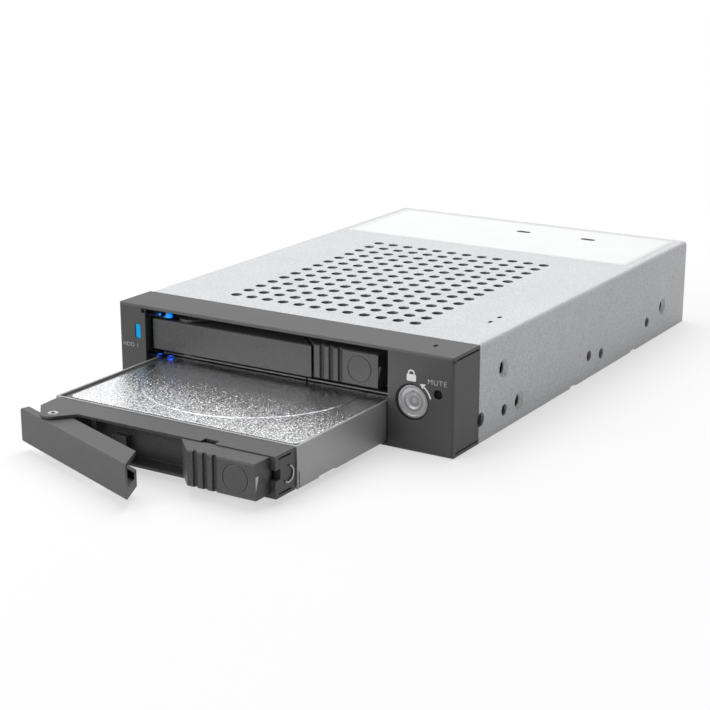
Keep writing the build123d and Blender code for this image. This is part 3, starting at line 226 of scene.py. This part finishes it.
def finish_of(
    name,
    color,
    rough,
    metallic=0.0,
    mottle=0.08,
    mottle_size=9.0,
    grain=0.3,
    grain_stretch=(1, 1, 1),
    grain_bump=0.15,
    grain_tint=0.0,
    rough_vary=0.06,
    edge=0.15,
    edge_highlight_color=None,
    edge_highlight_share=(0.2, 0.5),
    coat=0.0,
    specular=0.5,
    hole_shade_color=None,
    ringed=0.0,
    flakes=None,
):
    """Procedural finish: broad mottling, fine grain in colour and relief, painted highlights on
    edges.
    """
    material, tree, shader, place = start(name)
    broad = noise(tree, place, mottle_size, detail=3.0)
    fine = noise(tree, place, grain, grain_stretch, detail=2.0, rough=0.6)
    dark = tuple(c * (1 - mottle) for c in color)
    light = tuple(min(1.0, c * (1 + mottle)) for c in color)
    tone = blend(tree, spread(tree, broad, 0, 1), dark, light)
    if grain_tint:
        tone = scaled(tree, tone, spread(tree, fine, 1 - grain_tint, 1 + grain_tint))
    rounded, mask = edge_mask(tree, edge)
    # Painted highlight: a random share of the edges is lightened towards the given edge colour.
    if edge_highlight_color:
        share = spread(tree, noise(tree, place, 1.2), *edge_highlight_share)
        tone = blend(tree, math_of(tree, "MULTIPLY", mask, share), tone, edge_highlight_color)
    if ringed:
        tone = scaled(tree, tone, ring_shade(tree, place, ringed))
    # Painted shade: the walls of punched holes and dimples get a dark colour.
    if hole_shade_color:
        tone = blend(tree, punched(tree, place), tone, hole_shade_color)
    relief = add(
        tree,
        "Bump",
        {"Height": fine, "Normal": rounded, "Strength": grain_bump, "Distance": GRAIN_DEPTH * MM},
    )
    surface = relief.outputs[0]
    if flakes:
        surface = tilted(tree, place, surface, *flakes)
    gloss = spread(tree, fine, rough - rough_vary, rough + rough_vary)
    tree.links.new(tone, shader.inputs["Base Color"])
    tree.links.new(surface, shader.inputs["Normal"])
    tree.links.new(gloss, shader.inputs["Roughness"])
    shader.inputs["Metallic"].default_value = metallic
    shader.inputs["Specular IOR Level"].default_value = specular
    shader.inputs["Coat Weight"].default_value = coat
    shader.inputs["Coat Roughness"].default_value = 0.2
    return material


def glow_of(name, color, strength, body, spots=()):
    """Clear light pipe, lit from behind. Its light is all over it, or limited to spots.

    A spot is its x, y, z and reach in millimetres. body is the share of colour in the unlit piece.
    """
    material, tree, shader, place = start(name)
    shade = spread(tree, noise(tree, place, 1.5), 0.9, 1.1)
    lit = None
    for *middle, reach in spots:
        away = distance(tree, place, [c * MM for c in middle])
        near = spread(tree, away, 1.0, 0.0, 0.5 * reach * MM, reach * MM)
        lit = near if lit is None else math_of(tree, "MAXIMUM", lit, near)
    if lit is not None:
        shade = math_of(tree, "MULTIPLY", lit, shade)
    tree.links.new(scaled(tree, color, shade), shader.inputs["Emission Color"])
    shader.inputs["Emission Strength"].default_value = strength
    shader.inputs["Base Color"].default_value = (*[body * c for c in color], 1)
    shader.inputs["Roughness"].default_value = 0.35
    shader.inputs["Specular IOR Level"].default_value = 0.15
    return material


def board_finish(name):
    """Solder mask with copper tracks under it and bright pads."""
    track_cell, pad_pitch, pad_share = 6, 2.2, 0.12
    material, tree, shader, place = start(name)
    cells = add(tree, "TexBrick", {"Vector": place, "Scale": 1 / (track_cell * MM)})
    for key, value in (("Color1", 0.5), ("Color2", 0.55), ("Mortar", 1.0)):
        cells.inputs[key].default_value = (value, value, value, 1)
    cells.inputs["Mortar Size"].default_value = 0.03
    dots = add(tree, "TexVoronoi", {"Vector": place, "Scale": 1 / (pad_pitch * MM)})
    pads = math_of(tree, "LESS_THAN", dots.outputs["Distance"], pad_share)
    mask_tone = blend(tree, cells.outputs["Color"], (0.004, 0.05, 0.02), (0.012, 0.11, 0.045))
    tree.links.new(blend(tree, pads, mask_tone, (0.6, 0.55, 0.4)), shader.inputs["Base Color"])
    tree.links.new(pads, shader.inputs["Metallic"])
    relief = add(
        tree, "Bump", {"Height": cells.outputs["Fac"], "Strength": 0.2, "Distance": 0.03 * MM}
    )
    tree.links.new(relief.outputs[0], shader.inputs["Normal"])
    shader.inputs["Roughness"].default_value = 0.35
    return material


def seen_directly(tree):
    """1 where the camera, a reflection or a clear piece looks, and 0 for light on dull surfaces."""
    rays = tree.nodes.new("ShaderNodeLightPath").outputs
    either = math_of(tree, "MAXIMUM", rays["Is Camera Ray"], rays["Is Glossy Ray"])
    return math_of(tree, "MAXIMUM", either, rays["Is Transmission Ray"])


# Finishes. The lighter colours given for edges are painted highlights.

# The cover's dark colour on the walls of its holes is painted shade.
SILVER = finish_of(
    "cover_silver", (0.60, 0.608, 0.62), 0.42, metallic=0.2, mottle=0.03, mottle_size=14,
    grain=0.5, grain_tint=0.2, grain_bump=0.25, edge=0.25, edge_highlight_color=(0.8, 0.81, 0.82),
    hole_shade_color=(0.19, 0.19, 0.195),
)
BEZEL = finish_of(
    "bezel_black", (0.049, 0.049, 0.050), 0.46, mottle=0.05, mottle_size=6, grain=0.34,
    grain_tint=0.24, grain_bump=0.35, edge=0.3, edge_highlight_color=(0.17, 0.17, 0.175),
)
PLASTIC = finish_of(
    "carrier_black", (0.059, 0.059, 0.060), 0.45, mottle=0.04, mottle_size=5, grain=0.36,
    grain_tint=0.32, grain_bump=0.45, edge=0.28, edge_highlight_color=(0.26, 0.26, 0.265),
    edge_highlight_share=(0.5, 0.9),
)
ZINC = finish_of(
    "zinc_sheet", (0.56, 0.57, 0.58), 0.38, metallic=0.9, mottle=0.06, mottle_size=5,
    grain_stretch=(1, 6, 1), grain_tint=0.05, grain_bump=0.2, edge=0.2,
    edge_highlight_color=(0.75, 0.75, 0.76),
)
TRAY = finish_of(
    "tray_metal", (0.40, 0.402, 0.405), 0.42, metallic=0.4, mottle=0.04, mottle_size=7,
    grain=0.25, grain_stretch=(1, 5, 1), grain_tint=0.06, grain_bump=0.2, edge=0.2,
    edge_highlight_color=(0.66, 0.66, 0.67),
)
DRIVE_LID = finish_of(
    "drive_lid", (0.90, 0.905, 0.92), 0.19, metallic=1.0, mottle=0.05, mottle_size=11,
    grain=0.4, grain_tint=0.2, grain_bump=0.4, rough_vary=0.05, edge=0.18,
    edge_highlight_color=(0.95, 0.95, 0.96), edge_highlight_share=(1.0, 1.0), flakes=(0.2, 0.29),
)
DRIVE_CAST = finish_of(
    "drive_alloy", (0.16, 0.16, 0.165), 0.55, metallic=0.6, grain_bump=0.5, edge=0.2,
)
CHROME = finish_of(
    "lock_chrome", (0.42, 0.42, 0.43), 0.42, metallic=0.8, mottle=0.05, mottle_size=2,
    grain=0.15, grain_bump=0.2, edge=0.3, edge_highlight_color=(0.95, 0.95, 0.96), edge_highlight_share=(1.0, 1.0),
    ringed=0.3,
)
STEEL = finish_of(
    "pin_steel", (0.6, 0.6, 0.61), 0.3, metallic=1.0, grain=0.2, grain_bump=0.2, edge=0.1,
)
SPRING = finish_of("spring_steel", (0.42, 0.42, 0.43), 0.35, metallic=1.0, edge=0.05)
# Near-black: the lock housing's own colour, and painted shade on the partitions and on the thin
# dark pieces in slots, notches and seam.
INNER_BLACK_AND_SHADE = finish_of(
    "inner_black_and_shade", (0.012, 0.012, 0.012), 0.6, grain_bump=0.2, edge=0.1, specular=0.2,
)
# Painted shade: the middle shelf's zinc is darkened for the shade it lies in.
SHADED_SHELF = finish_of(
    "shelf_zinc_painted_shade", (0.10, 0.10, 0.102), 0.45, metallic=0.5, mottle=0.06, mottle_size=5,
    grain_stretch=(1, 6, 1), grain_tint=0.05, grain_bump=0.2, edge=0.12,
    edge_highlight_color=(0.60, 0.60, 0.61),
)
# Black of the connectors. The dark pin and screw recess pieces use it as painted shade.
CONNECTOR_AND_SHADE = finish_of(
    "connector_black", (0.03, 0.03, 0.032), 0.5, mottle=0.1, grain=0.2, grain_bump=0.2,
    edge_highlight_color=(0.09, 0.09, 0.09),
)
CAN = finish_of("can_metal", (0.36, 0.36, 0.37), 0.5, metallic=0.9, edge=0.3)
# Black button, darkened further as painted shade for its deep hole.
BUTTON_AND_SHADE = finish_of(
    "button_black", (0.006, 0.006, 0.006), 0.6, grain=0.2, edge=0.1, specular=0.1,
)
PAPER = finish_of(
    "label_white", (0.84, 0.845, 0.85), 0.45, mottle=0.015, mottle_size=12, grain=0.15,
    grain_bump=0.06, edge=0.05, coat=0.15,
)
PRINT = finish_of("print_white", (0.78, 0.79, 0.8), 0.5, mottle=0.06, grain=0.1, edge=0.02)
SMALL_PRINT = finish_of("print_grey", (0.48, 0.49, 0.5), 0.5, mottle=0.06, grain=0.1, edge=0.02)
FRAME_PRINT = finish_of("print_pale", (0.52, 0.52, 0.53), 0.5, mottle=0.06, grain=0.1, edge=0.02)
BOARD = board_finish("board_green")
GLOW = glow_of("light_blue", (0.004, 0.34, 0.74), 0.9, body=0.1)
BAY_GLOW = glow_of(
    "bay_light_blue", (0.01, 0.26, 0.85), 1.3, body=0.05,
    spots=[(-38.3, 1.5, 23.3, 0.5), (-35.4, 1.5, 23.2, 1.4)],
)
LOW_GLOW = glow_of(
    "bay_light_navy", (0.01, 0.07, 0.50), 3.0, body=0.05,
    spots=[(-38.9, 1.85, 11.5, 1.1), (-35.4, 1.85, 11.5, 1.1)],
)

SLOT_FINISH = {
    "cover_silver": SILVER,
    "bezel_black": BEZEL,
    "zinc_sheet": ZINC,
    "tray_metal": TRAY,
    "carrier_black": PLASTIC,
    "lever_black": PLASTIC,
    "latch_black": PLASTIC,
    "pin_steel": STEEL,
    "spring_steel": SPRING,
    "drive_alloy": DRIVE_CAST,
    "drive_lid": DRIVE_LID,
    "board_green": BOARD,
    "connector_black": CONNECTOR_AND_SHADE,
    "can_metal": CAN,
    "lock_chrome": CHROME,
    "light_blue": GLOW,
    "button_black": BUTTON_AND_SHADE,
}
# The partitions' near-black and the shelf's darkened zinc are painted shade. The lock housing's
# black is its own.
NODE_FINISH = {
    "upper_bay_light": BAY_GLOW,
    "lower_bay_light": LOW_GLOW,
    "left_partition": INNER_BLACK_AND_SHADE,
    "right_partition": INNER_BLACK_AND_SHADE,
    "middle_shelf": SHADED_SHELF,
    "lock_housing": INNER_BLACK_AND_SHADE,
}


def dress_model():
    """Each model node gets the finish of its slot in the record, or its own in NODE_FINISH."""
    for part in frame["record"]["subparts"]:
        node = frame["nodes"][part["node"]]
        node.data.materials.clear()
        node.data.materials.append(SLOT_FINISH[part["material_slot"]])
    for node, finish in NODE_FINISH.items():
        frame["nodes"][node].data.materials[0] = finish


# Outlines, in millimetres


def around(radius, angle, middle=(0, 0)):
    """Point at a radius and an angle in degrees."""
    turn = math.radians(angle)
    return (middle[0] + radius * math.cos(turn), middle[1] + radius * math.sin(turn))


def arc(radius, start_angle, end_angle, steps, middle=(0, 0)):
    """Points along an arc, in degrees."""
    turn = (end_angle - start_angle) / steps
    return [around(radius, start_angle + i * turn, middle) for i in range(steps + 1)]


def disc(radius, middle):
    """Outline of a round spot."""
    return arc(radius, 0, 360 - 360 / DISC_POINTS, DISC_POINTS - 1, middle)


def rounded_box(width, height, radius, middle):
    """Outline of a box with round corners."""
    points = []
    for i, (sx, sy) in enumerate(((1, 1), (-1, 1), (-1, -1), (1, -1))):
        corner = (
            middle[0] + sx * (width / 2 - radius),
            middle[1] + sy * (height / 2 - radius),
        )
        points += arc(radius, 90 * i, 90 * i + 90, CORNER_STEPS, corner)
    return points


def slot_outline(length, width, middle):
    """Outline of a level slot with round ends."""
    half = (length - width) / 2
    right = arc(width / 2, -90, 90, SLOT_END_STEPS, (middle[0] + half, middle[1]))
    left = arc(width / 2, 90, 270, SLOT_END_STEPS, (middle[0] - half, middle[1]))
    return right + left


# Thin pieces on the model's faces


def facing_front(x, z, y):
    """Frame for print on a face that looks to the front, with its middle at x, z."""
    return Matrix(((1, 0, 0, x * MM), (0, 0, -1, y * MM), (0, 1, 0, z * MM), (0, 0, 0, 1)))


def facing_up(x, y, z):
    """Frame for print on a level face, with its middle at x, y."""
    return Matrix.Translation((x * MM, y * MM, z * MM))


def facing_right(x, y, z):
    """Frame for print on a face that looks to the right, with its middle at y, z."""
    return Matrix(((0, 0, 1, x * MM), (1, 0, 0, y * MM), (0, 1, 0, z * MM), (0, 0, 0, 1)))


def link(name, mesh, material, body):
    """Put a finished mesh in the scene on its body."""
    mesh.materials.clear()
    mesh.materials.append(material)
    piece = bpy.data.objects.new(name, mesh)
    bpy.context.scene.collection.objects.link(piece)
    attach(piece, body)
    return piece


def flat_piece(name, shapes, place, thick, material, body):
    """Thin piece from shapes. A shape is a list of loops: its outline, then its holes."""
    mesh = bpy.data.meshes.new(name)
    made = bmesh.new()
    for loops in shapes:
        edges = []
        for loop in loops:
            corners = [made.verts.new((u * MM, v * MM, 0)) for u, v in loop]
            edges += [made.edges.new((corners[i - 1], corners[i])) for i in range(len(corners))]
        bmesh.ops.triangle_fill(made, edges=edges, use_beauty=True)
    for face in made.faces:
        if face.normal.z < 0:
            face.normal_flip()
    skin = bmesh.ops.extrude_face_region(made, geom=made.faces[:])
    top = [v for v in skin["geom"] if isinstance(v, bmesh.types.BMVert)]
    bmesh.ops.translate(made, verts=top, vec=(0, 0, thick * MM))
    bmesh.ops.recalc_face_normals(made, faces=made.faces[:])
    made.transform(place)
    made.to_mesh(mesh)
    made.free()
    link(name, mesh, material, body)


def lettering(name, words, width, height, place, material, body):
    """Plain thin lettering, centred on its place, of the given size."""
    text = bpy.data.curves.new(name, "FONT")
    text.body = words
    text.space_character = 1.12
    text.offset = -0.012
    text.extrude = PRINT_THICK * MM / 2
    holder = bpy.data.objects.new(name + "_curve", text)
    bpy.context.scene.collection.objects.link(holder)
    graph = bpy.context.evaluated_depsgraph_get()
    mesh = bpy.data.meshes.new_from_object(holder.evaluated_get(graph))
    mesh.name = name
    bpy.data.objects.remove(holder)
    low = [min(v.co[i] for v in mesh.vertices) for i in (0, 1)]
    high = [max(v.co[i] for v in mesh.vertices) for i in (0, 1)]
    middle = Matrix.Translation((-(low[0] + high[0]) / 2, -(low[1] + high[1]) / 2, 0))
    size = (width * MM / (high[0] - low[0]), height * MM / (high[1] - low[1]), 1, 1)
    mesh.transform(place @ Matrix.Diagonal(size) @ middle)
    link(name, mesh, material, body)


# Pieces


def vent_near(vert):
    """Middle of the vent that a vertex of the cover's top sheet belongs to, if any."""
    x, y, z = (c / MM for c in vert.co)
    column = round((x - VENT_FIRST[0]) / VENT_PITCH[0])
    row = round((y - VENT_FIRST[1]) / VENT_PITCH[1])
    middle = (VENT_FIRST[0] + VENT_PITCH[0] * column, VENT_FIRST[1] + VENT_PITCH[1] * row)
    counted = 0 <= column < VENT_COUNT[0] and 0 <= row < VENT_COUNT[1]
    in_top = z > COVER_TOP - TOP_SHEET
    if counted and in_top and math.dist((x, y), middle) < VENT_CUT + 0.1:
        return Vector((middle[0] * MM, middle[1] * MM, vert.co.z))
    return None


def make_cover():
    """Copy of the cover with wider, rounder vents, spread a little. The rest is the model's."""
    made = bmesh.new()
    made.from_mesh(frame["nodes"]["outer_cover"].data)
    bmesh.ops.remove_doubles(made, verts=made.verts[:], dist=0.001 * MM)
    rims = [
        edge for edge in made.edges
        if abs(edge.verts[0].co.z - edge.verts[1].co.z) < 0.01 * MM
        and vent_near(edge.verts[0]) and vent_near(edge.verts[0]) == vent_near(edge.verts[1])
    ]
    bmesh.ops.subdivide_edges(made, edges=rims, cuts=1)
    for vert in made.verts:
        middle = vent_near(vert)
        if middle:
            away = (vert.co - middle).normalized() * VENT_RADIUS * MM
            moved = VENT_SHIFT * MM + (middle.x - VENT_MIDDLE * MM) * (VENT_SPREAD - 1)
            vert.co = middle + away + Vector((moved, 0, 0))
    bmesh.ops.triangulate(made, faces=made.faces[:])
    mesh = bpy.data.meshes.new("cover_skin")
    made.to_mesh(mesh)
    made.free()
    skin = link("cover_skin", mesh, SILVER, "cage")
    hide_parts("outer_cover")


def make_bezel_print():
    """Bay numbers, mute mark, padlock and turning arrow on the bezel."""
    front = -PRINT_THICK / 2
    for number, z in ((1, 14.15), (2, 3.15)):
        lettering(
            f"bay_text_{number}", f"HDD {number}", 4.9, 1.05, facing_front(-47.25, z, front),
            SMALL_PRINT, "cage",
        )
    lettering(
        "mute_text", "MUTE", 5.1, 1.25, facing_front(46.45, 18.55, front), SMALL_PRINT, "cage",
    )

    body = rounded_box(2.6, 1.75, 0.25, (0, -0.6))
    outer, inner, foot = 1.0, 0.62, 0.2
    shackle = (
        arc(outer, 0, 180, 14, (0, 0.45)) + [(-outer, foot), (-inner, foot)]
        + arc(inner, 180, 0, 14, (0, 0.45)) + [(inner, foot), (outer, foot)]
    )
    flat_piece(
        "padlock_mark", [[body], [shackle]], facing_front(LOCK[0] - 0.2, 19.4, front),
        PRINT_THICK, PRINT, "cage",
    )

    band = arc(5.58, 17, 55, 12) + arc(5.22, 55, 17, 12)
    head = [around(6.35, 53), around(5.4, 66), around(4.75, 52)]
    flat_piece(
        "turn_arrow", [[band], [head]], facing_front(*LOCK, front), PRINT_THICK, PRINT, "cage",
    )


def make_latch_marks():
    """White wedge on the right end of each latch."""
    wedge = [(0.0, 1.8), (1.15, 1.8), (0.0, -1.8)]
    for name, out, rise, slid in CARRIERS:
        place = facing_right(LATCH_RIGHT + slid, 2.35 - out, 6.3 + rise)
        flat_piece(
            f"{name}_latch_mark", [[wedge]], place, PRINT_THICK, PRINT, f"{name}_latch_body",
        )


def make_label():
    """Bare label on the back of the cover, cut out round two slots, dark painted shade in the
    slots, and its frame line.
    """
    width, depth = LABEL_X[1] - LABEL_X[0], LABEL_Y[1] - LABEL_Y[0]
    middle = (sum(LABEL_X) / 2, sum(LABEL_Y) / 2)
    holes = [slot_outline(4.9, 2.2, place) for place in LABEL_SLOTS]
    flat_piece(
        "rear_label", [[rounded_box(width, depth, 0.8, middle), *holes]],
        facing_up(0, 0, COVER_TOP), LABEL_THICK, PAPER, "cage",
    )
    # Painted shade: thin dark pieces fill the two slots.
    shades = [[slot_outline(4.8, 2.1, place)] for place in LABEL_SLOTS]
    flat_piece(
        "label_slot_shade", shades, facing_up(0, 0, COVER_TOP), 0.02, INNER_BLACK_AND_SHADE, "cage",
    )
    width, depth, line = width - 1.6, depth - 1.2, 0.5
    loops = [
        rounded_box(width, depth, 0.5, middle),
        rounded_box(width - line, depth - line, 0.3, middle),
    ]
    flat_piece(
        "label_frame", [loops], facing_up(0, 0, COVER_TOP + LABEL_THICK), 0.01, FRAME_PRINT,
        "cage",
    )


def make_rivet_recess_shades():
    """Painted shade: a dark disc for the hollow middle of the lever pins' heads."""
    for name, out, _, _ in CARRIERS:
        pin = frame["nodes"][f"{name}_lever_pin"]
        top = max((pin.matrix_world @ v.co).z / MM for v in pin.data.vertices)
        flat_piece(
            f"{name}_pin_recess_shade", [[disc(0.5, (LEVER_PIN[0], LEVER_PIN[1] - out))]],
            facing_up(0, 0, top - 0.01), 0.02, CONNECTOR_AND_SHADE, f"{name}_carrier",
        )


def make_bezel_seam_shade():
    """Painted shade: a dark strip for the shadow gap under the bezel's top plate, from the front
    right corner back.
    """
    strip = [(0.0, 23.9), (1.4, 23.9), (1.4, 24.4), (0.0, 24.4)]
    flat_piece(
        "right_bezel_seam_shade", [[strip]], facing_right(BEZEL_SIDE, 0, 0), 0.01, INNER_BLACK_AND_SHADE, "cage",
    )


def make_notch_shades():
    """Painted shade: dark discs in the round notches where the bezel meets the cover's sides."""
    for side, x in (("left", -49.98), ("right", 49.96)):
        flat_piece(
            f"{side}_notch_shade", [[disc(1.88, NOTCH)]], facing_right(x, 0, 0), 0.02, INNER_BLACK_AND_SHADE,
            "cage",
        )


def make_screw_cross_shades():
    """Painted shade: dark crosses for the recesses in the countersunk heads under the cage."""
    arm, half = 1.0, 0.17
    cross = [
        (arm, -half), (arm, half), (half, half), (half, arm), (-half, arm), (-half, half),
        (-arm, half), (-arm, -half), (-half, -half), (-half, -arm), (half, -arm), (half, -half),
    ]
    places = [(x, 11.0) for x in (-45, 45)] + [(x, 145.5) for x in (-24, 0, 24)]
    shapes = [[[(x + u, y + v) for u, v in cross]] for x, y in places]
    flat_piece(
        "screw_recess_shades", shapes, facing_up(0, 0, -0.01), 0.02, CONNECTOR_AND_SHADE, "cage",
    )


# Stage, lights and camera, in metres


def make_floor():
    """Pale floor, white where it is seen far from the cage, and clear from below."""
    reach, height = 6, -0.0001
    shadow_middle, shadow_ends = (0, 0.05, 0), (0.08, 0.30)
    mesh = bpy.data.meshes.new("floor")
    made = bmesh.new()
    level = Matrix.Translation((0, 0, height))
    bmesh.ops.create_grid(made, x_segments=1, y_segments=1, size=reach, matrix=level)
    made.to_mesh(mesh)
    made.free()
    material, tree, shader, place = start("floor_white")
    seen = seen_directly(tree)
    mottled = spread(tree, noise(tree, place, 120), 0, 1)
    pale = blend(tree, mottled, (0.92, 0.92, 0.92), (0.94, 0.94, 0.94))
    tree.links.new(blend(tree, seen, (0.80, 0.80, 0.80), pale), shader.inputs["Base Color"])
    shader.inputs["Roughness"].default_value = 0.8
    shader.inputs["Specular IOR Level"].default_value = 0.1
    far = spread(tree, distance(tree, place, shadow_middle), 0.55, 1.0, *shadow_ends)
    white = math_of(tree, "MULTIPLY", seen, far)
    plain = add(tree, "Emission", {"Color": (1, 1, 1, 1), "Strength": 1.0}).outputs[0]
    mixed = add(tree, "MixShader", {0: white, 1: shader.outputs[0], 2: plain}).outputs[0]
    behind = tree.nodes.new("ShaderNodeNewGeometry").outputs["Backfacing"]
    clear = tree.nodes.new("ShaderNodeBsdfTransparent").outputs[0]
    either = add(tree, "MixShader", {0: behind, 1: mixed, 2: clear}).outputs[0]
    tree.links.new(either, tree.nodes["Material Output"].inputs["Surface"])
    mesh.materials.append(material)
    floor = bpy.data.objects.new("floor", mesh)
    bpy.context.scene.collection.objects.link(floor)


def panel(name, size, place, target, strength):
    """Soft light panel that looks at a target."""
    light = bpy.data.lights.new(name, "AREA")
    light.shape = "RECTANGLE"
    light.size, light.size_y = size
    light.energy = strength
    lamp = bpy.data.objects.new(name, light)
    bpy.context.scene.collection.objects.link(lamp)
    lamp.location = place
    lamp.rotation_mode = "QUATERNION"
    lamp.rotation_quaternion = (Vector(target) - Vector(place)).to_track_quat("-Z", "Y")


def make_room():
    """White room, greyer overhead. It lights dull surfaces more from the left than the right."""
    world = bpy.data.worlds.new("studio")
    world.use_nodes = True
    bpy.context.scene.world = world
    tree = world.node_tree
    way = tree.nodes.new("ShaderNodeTexCoord").outputs["Generated"]
    x, _, z = add(tree, "SeparateXYZ", {0: way}).outputs
    soft = spread(tree, x, 0.45, 0.03, start_at=-0.6, end_at=0.45)
    clear = spread(tree, z, 1.0, 0.45, start_at=0.5, end_at=0.9)
    strength = spread(tree, seen_directly(tree), soft, clear, start_at=0.0, end_at=1.0)
    background = tree.nodes["Background"]
    background.inputs["Color"].default_value = (1, 1, 1, 1)
    tree.links.new(strength, background.inputs["Strength"])


def make_camera():
    """The photograph's camera, found by fitting the cage's corners."""
    azimuth, elevation = math.radians(CAMERA_AZIMUTH), math.radians(CAMERA_ELEVATION)
    back = Vector(
        (
            math.sin(azimuth) * math.cos(elevation),
            -math.cos(azimuth) * math.cos(elevation),
            math.sin(elevation),
        )
    )
    camera = bpy.data.cameras.new("camera")
    camera.lens = CAMERA_LENS
    camera.sensor_width = CAMERA_SENSOR
    camera.clip_start = CAMERA_NEAR
    eye = bpy.data.objects.new("camera", camera)
    bpy.context.scene.collection.objects.link(eye)
    eye.rotation_mode = "QUATERNION"
    eye.location = CAMERA_PLACE
    eye.rotation_quaternion = (-back).to_track_quat("-Z", "Y")
    bpy.context.scene.camera = eye


dress_model()
make_cover()
make_bezel_print()
make_latch_marks()
make_label()
make_rivet_recess_shades()
make_bezel_seam_shade()
make_notch_shades()
make_screw_cross_shades()
make_floor()
panel("top_light", (0.9, 0.9), (-0.15, 0.25, 0.75), (0, 0.05, 0), 6.5)
panel("front_light", (0.7, 0.5), (-0.35, -0.8, 0.45), (0, 0, 0), 4.2)
make_room()
make_camera()
bpy.context.scene.view_settings.view_transform = "Standard"
